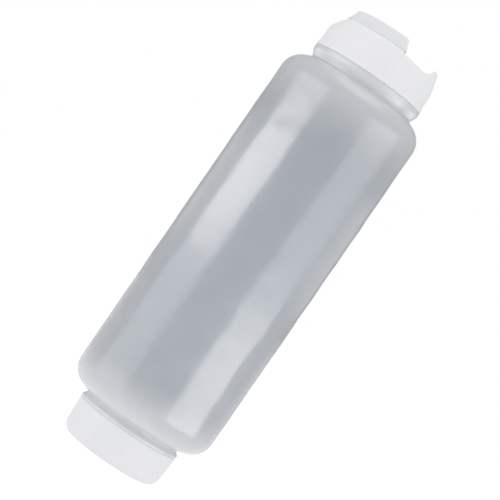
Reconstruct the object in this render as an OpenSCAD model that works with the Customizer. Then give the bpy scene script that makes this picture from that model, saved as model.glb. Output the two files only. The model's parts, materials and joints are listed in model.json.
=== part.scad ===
// Dispensing sauce bottle with a flip cap at one end and a refill cap at the other.
// Millimetres, +Z up. The origin is the centre of the flat face of the refill cap,
// on which the bottle stands. The lid hinge is at -X and the thumb scoop at +X.

/* [Bottle body] */
// Outer diameter of the squeeze body
body_d = 73; // [66:0.5:90]
// Length of the body between the two neck collars
body_h = 184.4; // [120:0.1:260]
// Wall of the blow-moulded body
body_wall = 1.2; // [0.8:0.1:2]
// Radius of the rounded edge between shoulder and body
shoulder_r = 10; // [6:0.5:14]
// Slope of the shoulder at the dispensing end, in degrees
dispensing_slope = 25; // [15:1:35]
// Slope of the shoulder at the refill end, in degrees
refill_slope = 20; // [12:1:30]

/* [Dispensing neck] */
// Outer diameter of the dispensing neck, under its thread
dispensing_neck_d = 50; // [46:0.5:54]
// Length of the dispensing neck above its collar
dispensing_neck_h = 10.4; // [8:0.1:14]
// Wall of both necks
neck_wall = 1.3; // [1:0.1:2]
// Height of the collar under the dispensing neck
dispensing_collar_h = 5.7; // [4:0.1:8]
// How far the collar stands out from the dispensing neck
dispensing_collar_out = 3.6; // [3:0.1:4.5]

/* [Refill neck] */
// Outer diameter of the refill neck, under its thread
refill_neck_d = 45.1; // [40:0.1:50]
// Length of the refill neck below its collar
refill_neck_h = 13.8; // [10:0.1:16]
// Height of the collar above the refill neck
refill_collar_h = 3.3; // [2.5:0.1:5]
// How far the collar stands out from the refill neck
refill_collar_out = 3.6; // [3:0.1:4.5]

/* [Closures] */
// Radial room between a neck and its cap, which the two threads fill
thread_room = 1.6; // [1.3:0.1:1.8]
// Gap between the rim of a cap and the collar that it meets
rim_gap = 0.3; // [0.2:0.05:0.6]
// Thickness of the two seal rings
seal_t = 1.4; // [1:0.1:2]
// How far each seal ring reaches inside the bore of its neck
seal_reach = 1.3; // [0.8:0.1:2]
// Gap between each seal ring and the wall of its cap
seal_side_gap = 0.9; // [0.7:0.1:1.2]

/* [Refill cap] */
// Thickness of the closed end of the refill cap
refill_panel_t = 1.8; // [1.4:0.1:2.4]
// Wall of the refill cap beside its closed end
refill_cap_wall = 1.25; // [1:0.05:2]
// How much wider the refill cap is at its rim than at its closed end, on the radius
refill_cap_flare = 0.8; // [0.2:0.1:1]
// Radius of the rounded edge of the closed end
refill_cap_edge_r = 5; // [3:0.1:5.2]

/* [Dispensing cap] */
// Wall of the skirt of the dispensing cap
cap_wall = 1.55; // [1.3:0.05:2]
// Height of the deck above the seal ring
deck_rise = 5.5; // [5.3:0.1:8]
// Distance from the lip of the neck down to the bend where the skirt starts to lean in
skirt_drop = 1.5; // [0.5:0.1:3]
// Lean of the cap wall above the skirt, in degrees
cap_lean = 15; // [12:1:17]
// How far the rim stands out from the skirt
cap_rim_out = 0.45; // [0.2:0.05:0.8]
// Thickness of the deck and of the scoop floor
deck_t = 1.5; // [1.2:0.1:1.7]
// How much smaller the lid seat is than the skirt, on the radius
deck_inset = 2.05; // [1.8:0.05:2.4]
// How far the lid seat is shifted towards the thumb scoop
deck_shift = 2.2; // [1.8:0.1:2.4]

/* [Thumb scoop] */
// Height of the step from the deck down to the scoop floor
scoop_step = 0.8; // [0.5:0.1:0.9]
// Fall of the scoop floor towards the thumb rest, in degrees
scoop_fall = 6.5; // [4:0.5:8]
// Radius of the curve from the scoop floor up to the thumb rest
scoop_r = 5; // [4:0.1:5.5]
// Height of the thumb rest above the deck
thumb_rest_h = 2.3; // [1.5:0.1:2.8]
// Distance from the outside of the skirt in to the face of the thumb rest
thumb_rest_in = 5.05; // [4.8:0.05:5.6]

/* [Flip lid] */
// Height of the flip lid
lid_h = 5.9; // [5.2:0.1:7]
// Distance from the bottle axis to the front wall of the lid
lid_front = 7.5; // [7:0.1:9]
// How far the lid overhangs the deck in front, for the thumb
lid_overhang = 1.3; // [0.8:0.1:1.6]
// Wall of the flip lid
lid_wall = 1.2; // [1:0.05:1.5]
// Thickness of the top of the flip lid
lid_top_t = 1.3; // [1:0.1:1.8]
// Lean of the lid wall, in degrees
lid_lean = 14; // [8:1:16]
// Lean of the front wall of the lid, in degrees
lid_front_lean = 14; // [4:1:16]
// Radius of the top edge of the lid
lid_edge_r = 2.3; // [1.5:0.1:2.4]
// Step between the edge of the lid seat and the lid
lid_ledge = 0.6; // [0.4:0.05:0.9]
// Gap between the closed lid and the deck
lid_gap = 0.2; // [0.1:0.05:0.4]

/* [Film hinge] */
// Width of the film hinge
hinge_w = 12; // [8:0.5:15]
// Thickness of the film hinge
hinge_t = 0.35; // [0.25:0.05:0.5]
// Height of the film on the cap and on the lid, each
hinge_land = 1; // [0.8:0.1:1.3]

/* [Dispensing valve] */
// Diameter of the hole in the deck
orifice_d = 8.4; // [7:0.1:9]
// Gap round the valve head, and round the lid plug, in that hole
orifice_gap = 0.3; // [0.2:0.05:0.5]
// Diameter of the flange of the valve
valve_flange_d = 13.8; // [13:0.1:14.4]
// Thickness of the flange of the valve
valve_flange_t = 1; // [0.8:0.1:1.3]
// Width of each of the two crossed slits
slit_w = 0.15; // [0.1:0.05:0.3]
// Length of each slit
slit_l = 5; // [3:0.1:5.4]
// Height of the collar round the hole, above the deck
spout_h = 0.9; // [0.5:0.1:1.2]
// Height of the ring that holds the valve in its seat
retainer_h = 1.5; // [1:0.1:1.8]
// Inner diameter of that ring
retainer_bore = 10; // [9.2:0.1:10.6]

/* [Hidden] */
$fn = 96;

// Steps in a quarter of a profile arc
arc_steps = 8;
// A length past any face that a cut has to clear
past = 60;

// Levels of the refill end
refill_lip_z = refill_panel_t + seal_t;
refill_collar_z = refill_lip_z + refill_neck_h;
refill_root_z = refill_collar_z + refill_collar_h;
refill_rim_z = refill_collar_z - rim_gap;

// Levels of the dispensing end
dispensing_root_z = refill_root_z + body_h;
dispensing_collar_z = dispensing_root_z + dispensing_collar_h;
dispensing_lip_z = dispensing_collar_z + dispensing_neck_h;
cap_rim_z = dispensing_collar_z + rim_gap;
seal_top_z = dispensing_lip_z + seal_t;
deck_z = seal_top_z + deck_rise;

// Radii of the bottle
body_r = body_d / 2;
dispensing_neck_r = dispensing_neck_d / 2;
refill_neck_r = refill_neck_d / 2;
dispensing_bore_r = dispensing_neck_r - neck_wall;
refill_bore_r = refill_neck_r - neck_wall;
refill_cap_bore_r = refill_neck_r + thread_room;
dispensing_collar_r = dispensing_neck_r + dispensing_collar_out;
refill_collar_r = refill_neck_r + refill_collar_out;
// The collars are narrower where they meet the shoulders
collar_taper = 1.8;
collar_edge = 0.5;
collar_band_h = 2;
// Groove that blowing leaves inside the wider collar: its depth and the height of its slope
collar_groove = 2.9;
groove_ease = 1.2;
// Chamfer where the bore of the refill neck meets the shoulder
root_ease = 0.8;
// Centres of the shoulder arcs
shoulder_centre_r = body_r - shoulder_r;
refill_tangent_r = shoulder_centre_r + shoulder_r * sin(refill_slope);
refill_centre_z = refill_root_z + shoulder_r * cos(refill_slope)
    + (refill_tangent_r - refill_collar_r + collar_taper) * tan(refill_slope);
dispensing_tangent_r = shoulder_centre_r + shoulder_r * sin(dispensing_slope);
dispensing_centre_z = dispensing_root_z - shoulder_r * cos(dispensing_slope)
    - (dispensing_tangent_r - dispensing_collar_r + collar_taper) * tan(dispensing_slope);

// Dispensing cap
cap_bore_r = dispensing_neck_r + thread_room;
cap_skirt_r = cap_bore_r + cap_wall;
cap_bend_r = 8;
skirt_top_z = dispensing_lip_z - skirt_drop;
bend_top_z = skirt_top_z + cap_bend_r * sin(cap_lean);
bend_top_r = cap_skirt_r - cap_bend_r * (1 - cos(cap_lean));
thumb_rest_z = deck_z + thumb_rest_h;
thumb_rest_edge_r = 1;
seat_r = cap_skirt_r - deck_inset;
// The shoulder under the lid seat falls this much outwards for each millimetre down
seat_flare = 0.632;
deck_front = lid_front - lid_overhang;
// Rim of the skirt: its chamfers, its upright band and the height at which it has faded into the skirt
rim_edge = 0.4;
rim_band_h = 1.4;
rim_fade_h = 3;
// Cut inner corner of the refill cap: its height and its distance from the seal ring
corner_h = 1.2;
corner_gap = 0.05;
// Land that presses the seal ring down, measured from the outside and from the bore of the neck
land_out = 0.1;
land_in = 0.8;
// Notch of the film hinge: room at each end, depth of its floor and the fall behind that, in degrees
notch_gap = 1.2;
notch_floor = 0.6;
notch_fall = 30;

// Thumb scoop
scoop_ease = 0.7;
scoop_start_x = deck_front + scoop_ease;
scoop_centre_x = cap_skirt_r - thumb_rest_in - scoop_r;
scoop_tangent_x = scoop_centre_x - scoop_r * sin(scoop_fall);
scoop_tangent_z = deck_z - scoop_step - (scoop_tangent_x - scoop_start_x) * tan(scoop_fall);
scoop_centre_z = scoop_tangent_z + scoop_r * cos(scoop_fall);

// Flip lid
lid_z = deck_z + lid_gap;
lid_top_z = lid_z + lid_h;
lid_r = seat_r - lid_ledge;
lid_back = sqrt(pow(lid_r, 2) - pow(hinge_w / 2, 2)) - deck_shift;

// Valve, its seat and its ring
orifice_r = orifice_d / 2;
valve_flange_r = valve_flange_d / 2;
spout_wall = 1;
seat_drop = 0.4;
seat_z = deck_z - deck_t - seat_drop;
valve_head_h = 0.9;
valve_head_r = orifice_r - orifice_gap;
valve_head_z = seat_z + valve_head_h;
valve_lip = 0.4;
valve_dish = 0.5;
valve_skin = 0.5;
plug_wall = 1.2;
retainer_out = 0.3;
retainer_gap = 0.1;
retainer_r = valve_flange_r + retainer_out;
retainer_z = seat_z - valve_flange_t - retainer_h;
boss_r = retainer_r + retainer_gap;
boss_wall = 1.2;
bead_h = 0.4;
bead_in = 0.25;
boss_z = retainer_z - bead_h - retainer_gap;

// Points along an arc, in the plane of a profile
function arc(cx, cy, r, a0, a1, n = arc_steps) =
    [for (i = [0:n]) [cx + r * cos(a0 + (a1 - a0) * i / n), cy + r * sin(a0 + (a1 - a0) * i / n)]];

// Shoulder at the refill end, from the radius r_in out to the body, at an arc radius r
function refill_shoulder(r_in, r) =
    let (tr = shoulder_centre_r + r * sin(refill_slope),
        tz = refill_centre_z - r * cos(refill_slope))
    concat([[r_in, tz - (tr - r_in) * tan(refill_slope)]],
        arc(shoulder_centre_r, refill_centre_z, r, refill_slope - 90, 0));

// Shoulder at the dispensing end, from the body in to the radius r_in
function dispensing_shoulder(r_in, r) =
    let (tr = shoulder_centre_r + r * sin(dispensing_slope),
        tz = dispensing_centre_z + r * cos(dispensing_slope))
    concat(arc(shoulder_centre_r, dispensing_centre_z, r, 0, 90 - dispensing_slope),
        [[r_in, tz + (tr - r_in) * tan(dispensing_slope)]]);

function reverse(points) = [for (i = [len(points) - 1:-1:0]) points[i]];

// Blow-moulded shell with a neck and a collar at each end
module bottle() {
    refill_root_r = refill_collar_r - collar_taper;
    dispensing_root_r = dispensing_collar_r - collar_taper;
    inner_arc_r = shoulder_r - body_wall;
    refill_end = [[refill_neck_r, refill_lip_z], [refill_neck_r, refill_collar_z],
        [refill_collar_r - collar_edge, refill_collar_z], [refill_collar_r, refill_collar_z + collar_edge],
        [refill_collar_r, refill_collar_z + 2 * collar_edge]];
    dispensing_end = [[dispensing_collar_r, dispensing_collar_z - collar_band_h],
        [dispensing_collar_r, dispensing_collar_z - collar_edge],
        [dispensing_collar_r - collar_edge, dispensing_collar_z], [dispensing_neck_r, dispensing_collar_z],
        [dispensing_neck_r, dispensing_lip_z]];
    outside = concat(refill_end, refill_shoulder(refill_root_r, shoulder_r),
        dispensing_shoulder(dispensing_root_r, shoulder_r), dispensing_end);
    inside = concat(
        [[dispensing_bore_r, dispensing_lip_z], [dispensing_bore_r, dispensing_collar_z - groove_ease],
            [dispensing_bore_r + collar_groove, dispensing_collar_z - 2 * groove_ease]],
        reverse(dispensing_shoulder(dispensing_root_r - body_wall, inner_arc_r)),
        reverse(refill_shoulder(refill_bore_r + root_ease, inner_arc_r)),
        [[refill_bore_r, refill_root_z - root_ease], [refill_bore_r, refill_lip_z]]);
    color("gainsboro")
        rotate_extrude() polygon(concat(outside, inside));
}

// Profile of the dispensing cap above the bend, leaning in and rounded over at the thumb rest
function cap_upper(inset) =
    let (top_z = thumb_rest_z - inset,
        edge_r = thumb_rest_edge_r,
        wall_r = bend_top_r - (top_z - edge_r - bend_top_z) * tan(cap_lean) - inset)
    concat([[bend_top_r - inset, bend_top_z]],
        arc(wall_r - edge_r, top_z - edge_r, edge_r, cap_lean, 90, 4), [[0, top_z]]);

// Sloping shoulder round the lid seat, which is shifted towards the scoop
module cap_seat_cone(inset) {
    h = past / 2;
    translate([deck_shift, 0, deck_z - h])
        cylinder(h = 2 * h, r1 = seat_r + seat_flare * h - inset, r2 = seat_r - seat_flare * h - inset);
}

// Space over the deck and the scoop, lowered into the cap by a wall
module over_deck(wall) {
    fall = wall / cos(scoop_fall);
    rotate([90, 0, 0]) translate([0, 0, -past]) linear_extrude(2 * past) polygon(concat(
        [[-past, deck_z - wall], [deck_front - wall / 3, deck_z - wall],
            [scoop_start_x - wall / 3, deck_z - scoop_step - fall]],
        arc(scoop_centre_x, scoop_centre_z, scoop_r + wall, -90 - scoop_fall, 0),
        [[scoop_centre_x + scoop_r + wall, deck_z + past], [-past, deck_z + past]]));
}

// The cap as one lump, without its cavity
module cap_outside() {
    rim_r = cap_skirt_r + cap_rim_out;
    difference() {
        intersection() {
            rotate_extrude() polygon(concat(
                [[0, cap_rim_z], [rim_r - rim_edge, cap_rim_z], [rim_r, cap_rim_z + rim_edge],
                    [rim_r, cap_rim_z + rim_band_h], [cap_skirt_r, cap_rim_z + rim_fade_h]],
                arc(cap_skirt_r - cap_bend_r, skirt_top_z, cap_bend_r, 0, cap_lean, 4), cap_upper(0)));
            cap_seat_cone(0);
        }
        over_deck(0);
    }
}

// The space inside the cap, one wall in from its outside
module cap_cavity() {
    difference() {
        intersection() {
            rotate_extrude() polygon(concat(
                [[0, cap_rim_z - past], [cap_bore_r + rim_edge, cap_rim_z - past],
                    [cap_bore_r + rim_edge, cap_rim_z], [cap_bore_r, cap_rim_z + rim_edge],
                    [cap_bore_r, skirt_top_z]],
                cap_upper(cap_wall)));
            cap_seat_cone(cap_wall);
        }
        over_deck(deck_t);
    }
}

module ring(r_out, r_in, z0, z1) {
    translate([0, 0, z0]) difference() {
        cylinder(h = z1 - z0, r = r_out);
        translate([0, 0, -1]) cylinder(h = z1 - z0 + 2, r = r_in);
    }
}

// Notch in which the film hinge works, with a floor that falls away behind to let the lid swing right back
module hinge_notch() {
    floor_z = deck_z - hinge_land;
    fall_x = -lid_back - notch_floor;
    half_w = hinge_w / 2 + notch_gap;
    rotate([90, 0, 0]) translate([0, 0, -half_w]) linear_extrude(2 * half_w) polygon([
        [-lid_back, floor_z], [-lid_back, floor_z + past], [fall_x - past, floor_z + past],
        [fall_x - past, floor_z - past * tan(notch_fall)], [fall_x, floor_z]]);
}

// Skirt, sloping shoulder, deck, thumb scoop and thumb rest in one moulding
module dispensing_cap() {
    color("white")
    difference() {
        union() {
            difference() {
                cap_outside();
                cap_cavity();
            }
            intersection() {
                cap_outside();
                union() {
                    // Land that presses the seal ring onto the lip of the neck
                    ring(dispensing_neck_r + land_out, dispensing_bore_r - land_in, seal_top_z, thumb_rest_z);
                    // Boss round the valve
                    translate([0, 0, boss_z]) cylinder(h = deck_z - boss_z, r = boss_r + boss_wall);
                }
            }
            // Collar round the hole
            translate([0, 0, deck_z - deck_t / 2])
                cylinder(h = deck_t / 2 + spout_h, r = orifice_r + spout_wall);
        }
        // Hole for the valve head
        translate([0, 0, boss_z]) cylinder(h = past, r = orifice_r);
        // Seat for the flange of the valve and its ring, with a bead that the ring snaps past
        translate([0, 0, boss_z + bead_h]) cylinder(h = seat_z - boss_z - bead_h, r = boss_r);
        translate([0, 0, boss_z - 1]) cylinder(h = bead_h + 2, r = boss_r - bead_in);
        hinge_notch();
    }
}

// Side outline of the lid, drawn in the XZ plane and inset by its wall
module lid_side(wall, top_z, edge_r) {
    front_top = lid_front - lid_h * tan(lid_front_lean) - wall;
    back_top = -lid_back + (lid_h - hinge_land) * tan(lid_lean) + wall;
    drop = wall > 0 ? past : 0;
    rotate([90, 0, 0]) translate([0, 0, -past]) linear_extrude(2 * past) polygon(concat(
        [[-lid_back + wall, lid_z - drop], [lid_front - wall, lid_z - drop], [lid_front - wall, lid_z]],
        arc(front_top - edge_r, top_z - edge_r, edge_r, 0, 90),
        arc(back_top + edge_r, top_z - edge_r, edge_r, 90, 180),
        [[-lid_back + wall, lid_z + hinge_land]]));
}

// Turned form of the lid about the shifted centre of its seat
module lid_turned(wall, top_z, edge_r) {
    drop = wall > 0 ? past : 0;
    edge_z = top_z - edge_r;
    edge_out_r = lid_r - wall - (edge_z - lid_z) * tan(lid_lean);
    translate([deck_shift, 0, 0]) rotate_extrude() polygon(concat(
        [[0, lid_z - drop], [lid_r - wall, lid_z - drop], [lid_r - wall, lid_z]],
        arc(edge_out_r - edge_r, edge_z, edge_r, 0, 90),
        [[0, top_z]]));
}

// Lid with a plug ring that closes on the valve
module flip_lid() {
    inner_top_z = lid_top_z - lid_top_t;
    plug_r = orifice_r - orifice_gap;
    inner_edge_r = max(lid_edge_r - lid_wall, 0.3);
    color("white")
    union() {
        difference() {
            intersection() {
                lid_turned(0, lid_top_z, lid_edge_r);
                lid_side(0, lid_top_z, lid_edge_r);
            }
            intersection() {
                lid_turned(lid_wall, inner_top_z, inner_edge_r);
                lid_side(lid_wall, inner_top_z, inner_edge_r);
            }
        }
        ring(plug_r, plug_r - plug_wall, valve_head_z + lid_gap, inner_top_z + lid_top_t / 2);
    }
}

// Thin strap that joins the cap and the lid behind and bends when the lid opens
module lid_hinge_film() {
    color("white")
        translate([-lid_back - hinge_t, -hinge_w / 2, deck_z - hinge_land])
        cube([hinge_t, hinge_w, 2 * hinge_land + lid_gap]);
}

// Silicone valve: a flange, a thin sleeve and a dished head with two crossed slits
module dispensing_valve() {
    flange_z = seat_z - valve_flange_t;
    color("lightyellow", 0.8)
    difference() {
        rotate_extrude() polygon([
            [valve_flange_r, flange_z], [valve_flange_r, seat_z], [valve_head_r, seat_z],
            [valve_head_r, valve_head_z], [valve_head_r - valve_lip, valve_head_z],
            [0, valve_head_z - valve_dish], [0, valve_head_z - valve_dish - valve_skin],
            [valve_head_r - valve_lip - valve_skin, seat_z], [orifice_r, flange_z]]);
        for (turn = [0, 90]) rotate([0, 0, turn])
            translate([-slit_l / 2, -slit_w / 2, flange_z]) cube([slit_l, slit_w, past]);
    }
}

// Ring that holds the flange of the valve up against its seat
module valve_retainer() {
    color("whitesmoke")
        ring(retainer_r, retainer_bore / 2, retainer_z, retainer_z + retainer_h);
}

module dispensing_cap_seal() {
    color("silver")
        ring(cap_bore_r - seal_side_gap, dispensing_bore_r - seal_reach, dispensing_lip_z, seal_top_z);
}

// Plain cup with a rounded closed end, on which the bottle stands
module refill_cap() {
    bore_r = refill_cap_bore_r;
    end_r = bore_r + refill_cap_wall;
    rim_r = end_r + refill_cap_flare;
    // The inner corner is cut as far in as the seal ring leaves free, so that the wall stays even there
    corner = seal_side_gap - corner_gap;
    color("white")
        rotate_extrude() polygon(concat(
            [[0, 0]],
            arc(end_r - refill_cap_edge_r, refill_cap_edge_r, refill_cap_edge_r, -90, 0),
            [[rim_r, refill_rim_z - rim_edge], [rim_r - rim_edge, refill_rim_z],
                [bore_r + rim_edge, refill_rim_z], [bore_r, refill_rim_z - rim_edge]],
            [[bore_r, refill_panel_t + corner_h], [bore_r - corner, refill_panel_t],
                [0, refill_panel_t]]));
}

module refill_cap_seal() {
    color("silver")
        ring(refill_cap_bore_r - seal_side_gap, refill_bore_r - seal_reach, refill_panel_t, refill_lip_z);
}

bottle();
dispensing_cap();
flip_lid();
lid_hinge_film();
dispensing_valve();
valve_retainer();
dispensing_cap_seal();
refill_cap();
refill_cap_seal();
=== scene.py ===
# %% [markdown]
# # A squeeze bottle for sauce, open at both ends
# The real thing is a tube of soft, milky plastic with a screw neck at each end. A white cap with a flip lid and a
# silicone valve closes the end that sauce comes out of. A plain white cap closes the end it is filled through, and
# the bottle stands on it. The sizes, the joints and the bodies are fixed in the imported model. This notebook gives
# the pieces their moulded edges, their threads and their finish.

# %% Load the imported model
import json
import math

import bmesh
import bpy
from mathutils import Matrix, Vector, noise

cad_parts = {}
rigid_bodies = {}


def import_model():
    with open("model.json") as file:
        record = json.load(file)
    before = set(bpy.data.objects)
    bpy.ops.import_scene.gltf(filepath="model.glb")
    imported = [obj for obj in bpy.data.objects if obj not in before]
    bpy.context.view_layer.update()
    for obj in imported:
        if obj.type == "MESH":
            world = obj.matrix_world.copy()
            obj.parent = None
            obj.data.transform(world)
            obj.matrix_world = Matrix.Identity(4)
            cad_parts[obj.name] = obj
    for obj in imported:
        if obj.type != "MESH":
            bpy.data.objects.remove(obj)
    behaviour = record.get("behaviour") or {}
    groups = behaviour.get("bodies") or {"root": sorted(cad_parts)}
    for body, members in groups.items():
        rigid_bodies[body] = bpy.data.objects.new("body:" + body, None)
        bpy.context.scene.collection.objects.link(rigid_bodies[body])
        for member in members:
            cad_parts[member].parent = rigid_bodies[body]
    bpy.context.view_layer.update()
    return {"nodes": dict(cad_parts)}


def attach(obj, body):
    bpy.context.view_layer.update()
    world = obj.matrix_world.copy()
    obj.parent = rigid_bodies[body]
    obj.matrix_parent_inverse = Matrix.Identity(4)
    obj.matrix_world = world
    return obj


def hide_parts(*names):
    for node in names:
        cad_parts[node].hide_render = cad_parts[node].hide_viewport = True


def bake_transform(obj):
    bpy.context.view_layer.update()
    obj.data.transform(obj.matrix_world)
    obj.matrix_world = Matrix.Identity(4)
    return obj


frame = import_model()
MM = 0.001

# %% [markdown]
# ## The camera
# The photograph shows the bottle square from the side, with its flip cap at the top right. It leans 34.6 degrees in
# the frame, while the model stands upright. Turning the camera about its own line of sight gives the same picture
# and leaves the model where it is. A long lens keeps the two ends almost the same width, as in the photograph.

# %% Camera
LEAN = math.radians(34.56)
CAMERA_AWAY = 0.987
CAMERA_HEIGHT = 0.1153
SENSOR_WIDTH = 36
LENS = 154.8

camera_data = bpy.data.cameras.new("camera")
camera_data.sensor_width = SENSOR_WIDTH
camera_data.lens = LENS
camera = bpy.data.objects.new("camera", camera_data)
camera.location = (0, -CAMERA_AWAY, CAMERA_HEIGHT)
camera.rotation_euler = (math.pi / 2, -LEAN, 0)
bpy.context.scene.collection.objects.link(camera)
bpy.context.scene.camera = camera
print("millimetres across the frame at the bottle:", round(SENSOR_WIDTH / LENS * CAMERA_AWAY / MM))

# %% [markdown]
# ## Turned pieces
# Bottle, refill cap, rings and seals are all round, so each is an outline turned about the upright axis. An outline
# is a short list of corners, each with its radius, its height and how far it is rounded. A bevel of that corner makes
# the rounding, and a spin makes the solid. The rounding of a corner reaches further along its sides where it is
# sharper, so the reach is worked out from the angle between them.

# %% Outline and spin
STEPS = 144
ROUND_STEPS = 6


def rounded_outline(corners):
    """Draws a closed outline in the plane y = 0 from corners of (radius, height, rounding) in millimetres."""
    bm = bmesh.new()
    verts = [bm.verts.new((r * MM, 0, z * MM)) for r, z, rounding in corners]
    bm.faces.new(verts)
    places = [Vector((r, z)) for r, z, rounding in corners]
    for i, vert in enumerate(verts):
        rounding = corners[i][2]
        if not rounding:
            continue
        here, after = places[i] - places[i - 1], places[(i + 1) % len(places)] - places[i]
        reach = rounding * math.tan(here.angle(after) / 2)
        segments = ROUND_STEPS * 2 if rounding > 3 else ROUND_STEPS
        bmesh.ops.bevel(bm, geom=[vert], offset=reach * MM, offset_type="OFFSET", affect="VERTICES",
                        segments=segments, profile=0.5, material=-1)
    return bm


def turned(corners):
    """Spins a rounded outline once round the upright axis into a closed solid."""
    bm = rounded_outline(corners)
    bmesh.ops.delete(bm, geom=bm.faces[:], context="FACES_ONLY")
    on_axis = [e for e in bm.edges if all(abs(v.co.x) < 1e-9 for v in e.verts)]
    bmesh.ops.delete(bm, geom=on_axis, context="EDGES")
    bmesh.ops.spin(bm, geom=bm.verts[:] + bm.edges[:], cent=(0, 0, 0), axis=(0, 0, 1),
                   angle=2 * math.pi, steps=STEPS, use_merge=True)
    bmesh.ops.remove_doubles(bm, verts=bm.verts, dist=1e-7)
    bmesh.ops.recalc_face_normals(bm, faces=bm.faces)
    return bm


# %% [markdown]
# ## From mesh to piece
# A finished piece needs its mesh, its material, the body that carries it and the CAD nodes that it stands for. Edges
# under 40 degrees shade smoothly, and the weighted normals keep the flat faces flat beside their small rounded edges.

# %% Finish a piece
SMOOTH_BELOW = math.radians(40)


def piece(name, bm, finish, body=None, nodes=()):
    """Makes an object at the origin from bm and puts it on its body in place of its CAD nodes."""
    mesh = bpy.data.meshes.new(name)
    bm.to_mesh(mesh)
    bm.free()
    mesh.shade_smooth()
    mesh.set_sharp_from_angle(angle=SMOOTH_BELOW)
    obj = bpy.data.objects.new(name, mesh)
    bpy.context.scene.collection.objects.link(obj)
    mesh.materials.append(finish.material)
    weighted = obj.modifiers.new("weighted normals", "WEIGHTED_NORMAL")
    weighted.keep_sharp = True
    if body:
        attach(obj, body)
    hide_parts(*nodes)
    print(name, "has", len(mesh.vertices), "points and", len(mesh.polygons), "faces")
    return obj


# %% [markdown]
# ## Shader maths
# Colour, gloss and grain come from short sums of noise. A sum is easier to read as an expression than as a web of
# nodes, so this class wraps the output of a node, and the signs on it add the Math nodes. The finish class keeps one
# material and adds every other kind of node.

# %% Wires and finishes
class Wire:
    """An output of a node in a tree."""

    def __init__(self, tree, socket):
        self.tree, self.socket = tree, socket

    def maths(self, operation, *values):
        return self.tree.node("ShaderNodeMath", {"operation": operation}, dict(enumerate(values)))

    def __add__(self, other):
        return self.maths("ADD", self, other)

    def __sub__(self, other):
        return self.maths("SUBTRACT", self, other)

    def __rsub__(self, other):
        return self.maths("SUBTRACT", other, self)

    def __mul__(self, other):
        return self.maths("MULTIPLY", self, other)

    def __abs__(self):
        return self.maths("ABSOLUTE", self)

    __radd__, __rmul__ = __add__, __mul__


class Tree:
    """A node tree, emptied and then built node by node."""

    def __init__(self, nodes):
        self.nodes = nodes
        self.nodes.nodes.clear()

    def node(self, kind, settings=None, sockets=None, output=0):
        """Adds a node, sets its settings first and then links or sets its sockets."""
        made = self.nodes.nodes.new(kind)
        for key, value in (settings or {}).items():
            setattr(made, key, value)
        for key, value in (sockets or {}).items():
            if isinstance(value, Wire):
                self.nodes.links.new(value.socket, made.inputs[key])
            else:
                made.inputs[key].default_value = value
        return None if output is None else Wire(self, made.outputs[output])

    def by_ray(self, matt, camera, through, mirrored):
        """One strength for light on matt surfaces and others for the camera, see-through plastic and reflections."""
        seen, passed, glossy = (self.node("ShaderNodeLightPath", output=ray)
                                for ray in ("Is Camera Ray", "Is Transmission Ray", "Is Glossy Ray"))
        mirror = glossy * (1 - passed)
        return matt + (camera - matt) * seen + (through - matt) * passed + (mirrored - matt) * mirror


class Finish(Tree):
    """One material. Its points are the object's own coordinates in metres."""

    def __init__(self, name):
        self.material = bpy.data.materials.new(name)
        self.material.use_nodes = True
        super().__init__(self.material.node_tree)
        self.points = self.node("ShaderNodeTexCoord", output="Object")

    def noise(self, size, detail=2, stretch=(1, 1, 1)):
        """Noise from 0 to 1 whose blots are about size metres wide, longer along an axis with a larger stretch."""
        scale = [1 / (size * s) for s in stretch]
        points = self.node("ShaderNodeMapping", sockets={"Vector": self.points, "Scale": scale})
        return self.node("ShaderNodeTexNoise", sockets={"Vector": points, "Scale": 1, "Detail": detail})

    def above(self, value, low, high):
        """A mask that rises from 0 at low to 1 at high."""
        return self.node("ShaderNodeMapRange", {"interpolation_type": "SMOOTHSTEP"},
                         {"Value": value, "From Min": low, "From Max": high})

    def mix(self, mask, first, second):
        """A colour between first, where the mask is 0, and second, where it is 1."""
        return self.node("ShaderNodeMix", {"data_type": "RGBA"}, {0: mask, 6: first, 7: second}, output=2)

    def plastic(self, tint, rough, height, lift, **plain):
        """A surface whose tint, roughness and bump vary, while its plain values are set on the shader itself."""
        bump = self.node("ShaderNodeBump", sockets={"Height": height, "Distance": lift, "Strength": 1})
        return self.node("ShaderNodeBsdfPrincipled", sockets={
            "Base Color": tint, "Roughness": rough, "Normal": bump, **plain})

    def close(self, surface):
        """Ends the material with a surface."""
        self.node("ShaderNodeOutputMaterial", sockets={"Surface": surface}, output=None)
        return self


def colour(red, green, blue):
    return (red, green, blue, 1)


# %% [markdown]
# ## The milky body
# The body is natural low-density polyethylene. It is neither clear nor opaque: it lets light through its wall and
# scatters it. The plastic is thicker at the shoulders, the collars and the necks, where it is hardly stretched, and
# looks almost white there. The cool grey of the thin middle is painted shade: its tint is darkened to stand for the
# darker space seen through the wall, and this painted shade fades out towards the thick ends. So one plastic that
# lets half of the light through, tinted with that painted shade, and one that scatters nearly all of it are mixed by
# height. Blowing leaves faint streaks along the bottle,
# cloudy patches and fine scratches, and the two halves of the mould leave a thin line on opposite sides. Its skin is
# smoother than the plastic under it, so a coat carries the bright highlights. The coat reflects more than the real
# plastic does, so that weaker lamps are enough for them. From where the photograph was taken nothing burns out, but
# from some other sides a strip of the body and a patch of the bared neck still turn white.

# %% Finish of the body
# The two thin tints are painted shade: a cool grey that stands for the darker space seen through the wall.
THIN_PAINTED_SHADE_LOW = (0.592, 0.637, 0.697)
THIN_PAINTED_SHADE_HIGH = (0.662, 0.703, 0.758)
THIN_THROUGH = 0.55
THICK_TINT = (0.87, 0.885, 0.90)
THICK_THROUGH = 0.12
BODY_ROUGH = 0.40
BODY_COAT = 0.9
BODY_COAT_ROUGH = 0.2
BODY_COAT_IOR = 2.0
BODY_WAVES = 8.0
# Heights where the wall turns thick, which are also where the painted shade of the middle fades out.
LOWER_THICK, LOWER_THIN = 0.016, 0.045
UPPER_THIN, UPPER_THICK = 0.170, 0.222


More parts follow.
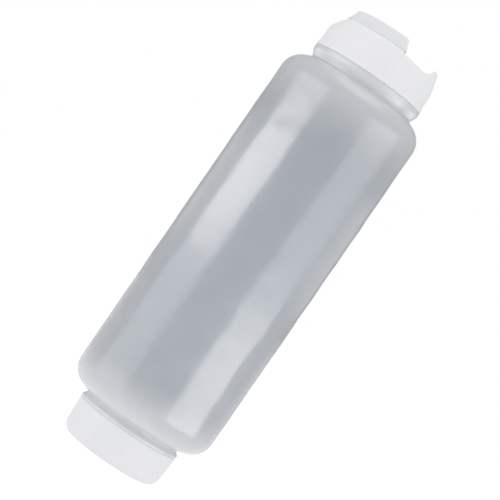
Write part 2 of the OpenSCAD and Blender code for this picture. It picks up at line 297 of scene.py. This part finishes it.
def frosted_plastic():
    finish = Finish("frosted_body")
    clouds = finish.noise(0.03, detail=3, stretch=(1, 1, 2.5))
    streaks = finish.noise(0.0022, detail=3, stretch=(1, 1, 30))
    waves = finish.noise(0.012, detail=1, stretch=(1, 1, 2))
    peel = finish.noise(0.0011, detail=2)
    scratches = finish.above(finish.noise(0.0009, detail=1, stretch=(1, 1, 26)), 0.66, 0.78)
    across = finish.node("ShaderNodeSeparateXYZ", sockets={"Vector": finish.points}, output="Y")
    up = finish.node("ShaderNodeSeparateXYZ", sockets={"Vector": finish.points}, output="Z")
    seam = 1 - finish.above(abs(across), 0.00005, 0.0003)
    # The mask is 1 at the thick ends, where the painted shade of the thin middle gives way to the near-white thick
    # tint.
    thick = 1 - finish.above(up, LOWER_THICK, LOWER_THIN) + finish.above(up, UPPER_THIN, UPPER_THICK)
    tint = finish.mix(0.75 * clouds + 0.25 * streaks, colour(*THIN_PAINTED_SHADE_LOW), colour(*THIN_PAINTED_SHADE_HIGH))
    tint = finish.mix(0.25 * scratches, tint, colour(0.78, 0.8, 0.83))
    rough = BODY_ROUGH + 0.10 * clouds + 0.06 * peel + 0.08 * scratches
    height = 0.5 * peel + 0.3 * streaks + 0.5 * seam - 0.2 * scratches + BODY_WAVES * waves
    coat = {"IOR": 1.51, "Coat Weight": BODY_COAT, "Coat Roughness": BODY_COAT_ROUGH,
            "Coat IOR": BODY_COAT_IOR}
    thin_shaded_wall = finish.plastic(tint, rough, height, 0.00005, **coat, **{"Transmission Weight": THIN_THROUGH})
    thick_wall = finish.plastic(finish.mix(0.3 * clouds, colour(*THICK_TINT), tint), rough, height, 0.00005,
                                **coat, **{"Transmission Weight": THICK_THROUGH})
    return finish.close(finish.node("ShaderNodeMixShader", sockets={0: thick, 1: thin_shaded_wall, 2: thick_wall}))


body_finish = frosted_plastic()
print("finish made:", body_finish.material.name)

# %% [markdown]
# ## The white caps
# The caps are injection-moulded polypropylene, white right through. The mould gives them a soft satin face with a
# very fine grain. Handling leaves them slightly greyer in blots and a little scuffed, most of all on the flat end
# that the bottle stands on. The lid is the same plastic. Its tints are a touch greyer as painted shade, for the
# darker band that its side wall shows under this light. A function makes both finishes from their pair of tints.

# %% Finish of the caps
CAP_TINTS = (0.84, 0.845, 0.865), (0.89, 0.892, 0.905)
# The lid's tints are the cap's tints made greyer: painted shade on the lid's side wall.
LID_SHADED_TINTS = (0.78, 0.787, 0.809), (0.826, 0.831, 0.85)
CAP_SPECULAR = 0.35


def white_plastic(name, tints):
    finish = Finish(name)
    clouds = finish.noise(0.012, detail=3)
    grain = finish.noise(0.0004, detail=2)
    scuffs = finish.above(finish.noise(0.0012, detail=2, stretch=(6, 1, 1)), 0.64, 0.74)
    height_up = finish.node("ShaderNodeSeparateXYZ", sockets={"Vector": finish.points}, output="Z")
    foot = 1 - finish.above(height_up, 0.0001, 0.0012)
    worn = scuffs * (0.12 + 0.6 * foot)
    tint = finish.mix(clouds, colour(*tints[0]), colour(*tints[1]))
    tint = finish.mix(worn, tint, colour(0.68, 0.67, 0.65))
    rough = 0.36 + 0.12 * clouds + 0.05 * grain + 0.2 * worn
    return finish.close(finish.plastic(tint, rough, 0.6 * grain - 0.4 * worn, 0.00004, **{
        "IOR": 1.49, "Subsurface Weight": 0.15, "Subsurface Radius": (0.002, 0.002, 0.0018),
        "Subsurface Scale": 1.0, "Specular IOR Level": CAP_SPECULAR}))


cap_finish = white_plastic("white_cap", CAP_TINTS)
# The lid's finish is the cap's plastic with painted shade in its tints.
shaded_lid_finish = white_plastic("white_lid_shaded", LID_SHADED_TINTS)
print("finishes made:", cap_finish.material.name, "and", shaded_lid_finish.material.name)

# %% [markdown]
# ## Silicone and seals
# The valve is milky clear silicone, soft enough to open at its slits when the bottle is squeezed. The seals are a
# pale foamed elastomer with fine pores.

# %% Finishes of the valve and the seals
def silicone():
    finish = Finish("clear_silicone")
    clouds = finish.noise(0.003, detail=2)
    dust = finish.above(finish.noise(0.0005, detail=1), 0.68, 0.76)
    tint = finish.mix(clouds, colour(0.70, 0.73, 0.73), colour(0.80, 0.82, 0.82))
    tint = finish.mix(0.4 * dust, tint, colour(0.9, 0.9, 0.88))
    rough = 0.3 + 0.1 * clouds + 0.2 * dust
    return finish.close(finish.plastic(tint, rough, 0.5 * clouds + 0.3 * dust, 0.00003, **{
        "IOR": 1.41, "Transmission Weight": 0.4}))


def foamed_rubber():
    finish = Finish("seal_rubber")
    clouds = finish.noise(0.006, detail=2)
    pores = finish.above(finish.noise(0.0005, detail=2), 0.55, 0.7)
    tint = finish.mix(clouds, colour(0.56, 0.56, 0.53), colour(0.66, 0.655, 0.63))
    tint = finish.mix(0.35 * pores, tint, colour(0.42, 0.42, 0.40))
    return finish.close(finish.plastic(tint, 0.62 + 0.15 * clouds, 0.4 * clouds - 0.8 * pores, 0.00006))


valve_finish = silicone()
seal_finish = foamed_rubber()
print("finishes made:", valve_finish.material.name, "and", seal_finish.material.name)

# %% [markdown]
# ## Threads
# Both closures screw down on one rounded ridge that winds round the neck and a matching ridge inside the cap. The
# caps rise 4.233 mm with each turn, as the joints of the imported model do, so the ridges keep clear of each other
# while a cap is turned. A spin with a step along its axis winds a small six-sided face into such a ridge, and its
# two ends are then drawn in to the wall, as a mould cuts them. The foot of the ridge is sunk a little into the wall.

# %% Wind a thread
PITCH = 4.2333
STEPS_PER_TURN = 72
LEAD_IN = 0.09
FOOT_SUNK = 0.3
FOOT_HALF, WALL_HALF, CREST_HALF = 0.95, 0.85, 0.4


def from_axis(vert):
    """How far a point is from the upright axis, in millimetres."""
    return math.hypot(*vert.co.xy) / MM


def wind_thread(bm, wall, crest, start_height, turns):
    """Adds a ridge from the radius wall to the radius crest, in millimetres, winding up from start_height."""
    sunk = wall + (wall - crest) * FOOT_SUNK
    section = [(sunk, -FOOT_HALF), (wall, -WALL_HALF), (crest, -CREST_HALF),
               (crest, CREST_HALF), (wall, WALL_HALF), (sunk, FOOT_HALF)]
    old = set(bm.verts)
    made = [bm.verts.new((r * MM, 0, (start_height + z) * MM)) for r, z in section]
    face = bm.faces.new(made)
    bmesh.ops.spin(bm, geom=[face, *face.edges, *made], cent=(0, 0, 0), axis=(0, 0, 1),
                   dvec=(0, 0, PITCH / STEPS_PER_TURN * MM), angle=turns * 2 * math.pi,
                   steps=round(turns * STEPS_PER_TURN))
    ridge = [v for v in bm.verts if v not in old]
    for vert in ridge:
        part = math.atan2(vert.co.y, vert.co.x) / (2 * math.pi)
        along = part + round((vert.co.z / MM - start_height) / PITCH - part)
        fade = min(1, max(0, min(along, turns - along) / LEAD_IN)) ** 0.5
        radius = from_axis(vert)
        pull = (sunk + (radius - sunk) * fade) / radius
        vert.co.x, vert.co.y = vert.co.x * pull, vert.co.y * pull
    faces = [f for f in bm.faces if f.verts[0] not in old]
    bmesh.ops.recalc_face_normals(bm, faces=faces)


# %% [markdown]
# ## An uneven wall
# A blown wall is soft and never quite true. The highlights on it have wavy edges, and a bump does not reach the coat
# of a shader, so the mesh itself is uneven. The long quads of the cylinder are cut into rows, and noise presses its
# points in by up to a third of a millimetre, never out.

# %% Unevenness of the body
BODY_ROWS = 80
WAVE_DEPTH = 0.34
WAVE_WIDTH, WAVE_HEIGHT = 10, 12
RIPPLE, RIPPLE_FINER = 0.35, 2.3
EVEN_RADIUS, UNEVEN_OVER, OUTER_RADIUS = 35.6, 0.7, 36
LONG_EDGE = 100


def make_uneven(bm):
    """Cuts the long outer quads into rows and presses the points outside EVEN_RADIUS in by noise."""
    long_edges = [e for e in bm.edges if e.calc_length() > LONG_EDGE * MM and from_axis(e.verts[0]) > OUTER_RADIUS]
    bmesh.ops.subdivide_edges(bm, edges=long_edges, cuts=BODY_ROWS, use_grid_fill=True)
    for vert in bm.verts:
        radius = from_axis(vert)
        share = min(1, max(0, radius - EVEN_RADIUS) / UNEVEN_OVER)
        place = Vector((vert.co.x / WAVE_WIDTH, vert.co.y / WAVE_WIDTH, vert.co.z / WAVE_HEIGHT)) / MM
        wave = noise.noise(place) + RIPPLE * noise.noise(place * RIPPLE_FINER)
        pull = 1 - share * WAVE_DEPTH * min(1, max(0, 0.5 + 0.5 * wave)) / max(radius, 1)
        vert.co.x, vert.co.y = vert.co.x * pull, vert.co.y * pull
    print("points on the uneven body:", sum(from_axis(v) > OUTER_RADIUS for v in bm.verts))


# %% [markdown]
# ## The bottle
# One shell with a wall of 1.2 mm. Seen from outside it is a plain cylinder, rounded into two sloping shoulders. Each
# shoulder ends in a collar, and above the collar is the neck with its thread.

# %% Bottle
bottle = turned([
    (21.25, 3.2, 0.25), (22.55, 3.2, 0.35), (22.55, 17.0, 0.4), (26.15, 17.0, 0.12), (26.15, 18.2, 0.6),
    (24.35, 20.3, 0.6), (36.5, 24.722, 10), (36.5, 200.177, 10), (26.8, 204.7, 0.6), (28.6, 208.4, 0.8),
    (28.6, 210.4, 0.12), (25.0, 210.4, 0.4), (25.0, 220.8, 0.35), (23.7, 220.8, 0.25), (23.7, 209.2, 0.5),
    (26.6, 208.0, 0.4), (25.6, 203.94, 0.8), (35.3, 199.416, 8.8), (35.3, 25.56, 8.8), (22.05, 20.738, 0.5),
    (21.25, 19.5, 0.4)])
make_uneven(bottle)
wind_thread(bottle, wall=25.0, crest=26.1, start_height=212.2, turns=1.4)
wind_thread(bottle, wall=22.55, crest=23.65, start_height=6.2, turns=1.75)
piece("bottle_shell", bottle, body_finish, "bottle", ["bottle"])

# %% [markdown]
# ## The refill cap
# A cup with a rounded closed end. The small dimple in the middle of its flat face is where the plastic was let into
# the mould.

# %% Refill cap
refill = turned([
    (0, 0.25, 0), (1.2, 0.25, 0.15), (1.6, 0, 0.15), (25.14, 0, 5), (26.2, 16.82, 0.1), (26.08, 16.96, 0.1),
    (24.55, 16.96, 0.2), (24.15, 16.5, 0.2), (24.15, 3.0, 0.4), (23.3, 1.8, 0.4), (0, 1.8, 0)])
wind_thread(refill, wall=24.15, crest=23.05, start_height=8.317, turns=1.5)
piece("refill_cap_cup", refill, cap_finish, "refill_cap", ["refill_cap"])

# %% [markdown]
# ## Eased copies
# The dispensing cap and its lid are round forms cut by flat and curved planes, which the CAD already holds exactly.
# A mould cannot leave a knife edge, though, and a real edge catches a thin line of light. So each is a copy of its
# CAD mesh, welded, cleared of the lines inside its flat faces, and bevelled along every edge that is sharp.

# %% Ease the sharp edges of a CAD node
FLAT_BELOW = math.radians(0.6)
SHARP_ABOVE = math.radians(28)


def eased_copy(node, radius, weld=0.00004):
    """Welds a copy of a CAD node and rounds its sharp edges by a radius in millimetres."""
    bm = bmesh.new()
    bm.from_mesh(frame["nodes"][node].data)
    bmesh.ops.remove_doubles(bm, verts=bm.verts, dist=1e-6)
    bmesh.ops.dissolve_limit(bm, angle_limit=FLAT_BELOW, verts=bm.verts, edges=bm.edges)
    bmesh.ops.remove_doubles(bm, verts=bm.verts, dist=weld)
    sharp = [e for e in bm.edges if e.is_manifold and e.calc_face_angle() > SHARP_ABOVE]
    bmesh.ops.bevel(bm, geom=sharp, offset=radius * MM, offset_type="OFFSET", affect="EDGES",
                    segments=3, profile=0.5, material=-1, clamp_overlap=False)
    return bm


# %% [markdown]
# ## The dispensing cap, its lid and the valve
# In the CAD the rim of the cap stands a little off the collar, and the lid off the deck. On the real bottle both gaps
# are hairlines, so the rim and the foot of the lid are drawn down to close them. The thread inside the cap is wound
# after that. The valve only has its edges eased.

# %% Dispensing cap, lid and valve
RIM_TOP, RIM_CAD, RIM_LOW, RIM_SQUEEZE = 0.2112, 0.2107, 210.44, 0.4
LID_FOOT, LID_FOOT_TOP, LID_DROP = 0.2278, 0.22812, 0.00014

cap = eased_copy("dispensing_cap", 0.16)
for vert in cap.verts:
    if vert.co.z < RIM_TOP:
        vert.co.z = RIM_LOW * MM + (vert.co.z - RIM_CAD) * RIM_SQUEEZE
wind_thread(cap, wall=26.6, crest=25.5, start_height=211.8, turns=1.3)
piece("dispensing_cap_moulding", cap, cap_finish, "dispensing_cap", ["dispensing_cap"])
lid = eased_copy("flip_lid", 0.2)
for vert in lid.verts:
    if LID_FOOT < vert.co.z < LID_FOOT_TOP:
        vert.co.z -= LID_DROP
piece("flip_lid_moulding", lid, shaded_lid_finish, "flip_lid", ["flip_lid"])
valve = eased_copy("dispensing_valve", 0.05, weld=0.00002)
piece("slit_valve", valve, valve_finish, "dispensing_cap", ["dispensing_valve"])

# %% [markdown]
# ## Rings
# The retainer is a flat ring that is pressed in under the valve. Each seal is a flat ring of foamed elastomer,
# stamped out of sheet and a little rounded where it was cut.

# %% Retainer and seals
retainer = turned([(5.0, 223.3, 0.3), (7.2, 223.3, 0.25), (7.2, 224.8, 0.2), (5.0, 224.8, 0.2)])
piece("valve_retainer_ring", retainer, cap_finish, "dispensing_cap", ["valve_retainer"])
upper_seal = turned([(22.4, 220.8, 0.25), (25.7, 220.8, 0.25), (25.7, 222.2, 0.25), (22.4, 222.2, 0.25)])
piece("dispensing_seal_ring", upper_seal, seal_finish, "dispensing_seal", ["dispensing_cap_seal"])
lower_seal = turned([(19.95, 1.8, 0.25), (23.25, 1.8, 0.25), (23.25, 3.2, 0.25), (19.95, 3.2, 0.25)])
piece("refill_seal_ring", lower_seal, seal_finish, "refill_seal", ["refill_cap_seal"])

# %% [markdown]
# ## The hinge strap
# Lid and cap come out of one mould, joined by a strap of the same plastic. The mould squeezes it to a thin waist,
# which is the line that it bends along. It is built in many rows from the cap up to the lid.

# %% Hinge strap
STRAP_IN, STRAP_OUT, STRAP_HALF = -22.58, -22.93, 6.0
STRAP_LOW, STRAP_HIGH, WAIST = 226.7, 228.9, 227.8
STRAP_ROWS = 22

strap = bmesh.new()
rows = []
for i in range(STRAP_ROWS + 1):
    height = STRAP_LOW + (STRAP_HIGH - STRAP_LOW) * i / STRAP_ROWS
    thinned = 0.08 * math.exp(-((height - WAIST) / 0.35) ** 2)
    rows.append([strap.verts.new((x * MM, -STRAP_HALF * MM, height * MM))
                 for x in (STRAP_OUT + thinned, STRAP_IN - thinned)])
ladder = [strap.faces.new((low[0], low[1], high[1], high[0])) for low, high in zip(rows, rows[1:])]
grown = bmesh.ops.extrude_face_region(strap, geom=ladder, use_keep_orig=True)["geom"]
bmesh.ops.translate(strap, verts=[g for g in grown if isinstance(g, bmesh.types.BMVert)],
                    vec=(0, 2 * STRAP_HALF * MM, 0))
bmesh.ops.recalc_face_normals(strap, faces=strap.faces)
corners = [e for e in strap.edges if e.calc_face_angle(0) > math.radians(60)]
bmesh.ops.bevel(strap, geom=corners, offset=0.05 * MM, offset_type="OFFSET", affect="EDGES", segments=2,
                profile=0.5, material=-1)
hinge = piece("hinge_strap", strap, cap_finish, nodes=["lid_hinge_film"])
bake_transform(hinge)

# %% [markdown]
# ## Floor and backdrop
# The photograph is cut out on pure white, so the world is white where the camera looks at it, like the walls of a
# light tent. How bright it is for matt surfaces, for the see-through plastic and in reflections is set apart from
# that. Reflections see it at less than half, so that the middle of the body stays as grey as in the photograph. The
# floor is a real, matt floor with a weak glow, so it looks white and still keeps the shadow of the bottle. It lies as
# far down as the refill cap comes when it is taken off, so that it never cuts the cap, and it is open from below, so
# that the underside can be seen.

# %% World and floor
WORLD_MATT, WORLD_SEEN, WORLD_THROUGH, WORLD_MIRRORED = 0.9, 1, 0.9, 0.42
FLOOR_MATT, FLOOR_SEEN, FLOOR_THROUGH, FLOOR_MIRRORED = 0.22, 0.45, 0.45, 0.16
FLOOR_COLOUR = 0.8

world = bpy.data.worlds.new("light_tent")
bpy.context.scene.world = world
world.use_nodes = True
tent = Tree(world.node_tree)
tent_light = tent.node("ShaderNodeBackground", sockets={
    "Color": (1, 1, 1, 1), "Strength": tent.by_ray(WORLD_MATT, WORLD_SEEN, WORLD_THROUGH, WORLD_MIRRORED)})
tent.node("ShaderNodeOutputWorld", sockets={"Surface": tent_light}, output=None)

FLOOR_RADIUS = 3
FLOOR_LEVEL = -0.0175
floor_bm = bmesh.new()
bmesh.ops.create_circle(floor_bm, cap_ends=True, radius=FLOOR_RADIUS, segments=64)
bmesh.ops.translate(floor_bm, verts=floor_bm.verts, vec=(0, 0, FLOOR_LEVEL))
floor_mesh = bpy.data.meshes.new("floor")
floor_bm.to_mesh(floor_mesh)
floor_bm.free()
floor = bpy.data.objects.new("floor", floor_mesh)
bpy.context.scene.collection.objects.link(floor)
ground = Finish("floor")
glow = ground.node("ShaderNodeEmission", sockets={
    "Color": (1, 1, 1, 1), "Strength": ground.by_ray(FLOOR_MATT, FLOOR_SEEN, FLOOR_THROUGH, FLOOR_MIRRORED)})
matt = ground.node("ShaderNodeBsdfDiffuse", sockets={"Color": (FLOOR_COLOUR, FLOOR_COLOUR, FLOOR_COLOUR, 1)})
both = ground.node("ShaderNodeAddShader", sockets={0: glow, 1: matt})
from_below = ground.node("ShaderNodeNewGeometry", output="Backfacing")
open_air = ground.node("ShaderNodeBsdfTransparent")
one_sided = ground.node("ShaderNodeMixShader", sockets={0: from_below, 1: both, 2: open_air})
floor_mesh.materials.append(ground.close(one_sided).material)
print("floor in mm below the bottle:", round(-FLOOR_LEVEL / MM, 1))

# %% [markdown]
# ## Lights
# The light tent gives nearly all of the light. The soft boxes beside the bottle only put highlights on it, so they
# are hidden from everything but reflections. The photograph shows a bright patch high on the left and one low on the
# right, each the middle of a long faint band, so each side has a short bright box and a long weak one. A weak pair
# further back lifts the two edges of the body, and a wide, weak one overhead gives a little shade below the caps.

# %% Soft boxes
BOX_AWAY = 0.3
LONG_TOP = 0.27
LEFT_AT, LEFT_HALF = -63, 27
LEFT_BRIGHT, LEFT_LONG = 2.75, 0.56
RIGHT_AT, RIGHT_HALF = 62, 28
RIGHT_BRIGHT, RIGHT_LONG = 2.0, 0.72
BACK_AT, BACK_HALF, BACK = 118, 24, 0.5
OVERHEAD, OVERHEAD_SIZE = 0.6, 0.8


def softbox(name, place, target, size, radiance, matt=True):
    """A rectangle of light at place, facing target. Its radiance is what a mirror would show of it."""
    data = bpy.data.lights.new(name, "AREA")
    data.shape = "RECTANGLE"
    data.size, data.size_y = size
    data.energy = radiance * math.pi * size[0] * size[1]
    obj = bpy.data.objects.new(name, data)
    obj.location = place
    obj.rotation_mode = "QUATERNION"
    obj.rotation_quaternion = (Vector(target) - Vector(place)).to_track_quat("-Z", "Y")
    obj.visible_camera = False
    obj.visible_diffuse = matt
    obj.visible_transmission = matt
    bpy.context.scene.collection.objects.link(obj)
    return obj


def beside(name, azimuth, half_angle, low, high, radiance):
    """A soft box beside the bottle, at an azimuth counted from the camera's side, from height low to high."""
    turn = math.radians(azimuth)
    place = Vector((math.sin(turn) * BOX_AWAY, -math.cos(turn) * BOX_AWAY, (low + high) / 2))
    size = (2 * BOX_AWAY * math.tan(math.radians(half_angle)), high - low)
    return softbox(name, place, (0, 0, place.z), size, radiance, matt=False)


for box in [("left_high", LEFT_AT, LEFT_HALF, 0.109, 0.192, LEFT_BRIGHT),
            ("left_long", LEFT_AT, LEFT_HALF, 0, LONG_TOP, LEFT_LONG),
            ("right_low", RIGHT_AT, RIGHT_HALF, 0.002, 0.084, RIGHT_BRIGHT),
            ("right_long", RIGHT_AT, RIGHT_HALF, 0, LONG_TOP, RIGHT_LONG),
            ("left_back", -BACK_AT, BACK_HALF, 0.10, 0.18, BACK),
            ("right_back", BACK_AT, BACK_HALF, 0.10, 0.18, BACK)]:
    beside(*box)
softbox("overhead", (0, -0.1, 1.2), (0, 0, 0.1), (OVERHEAD_SIZE, OVERHEAD_SIZE), OVERHEAD)

# %% Close the scene
scene = bpy.context.scene
scene.view_settings.view_transform = "Standard"
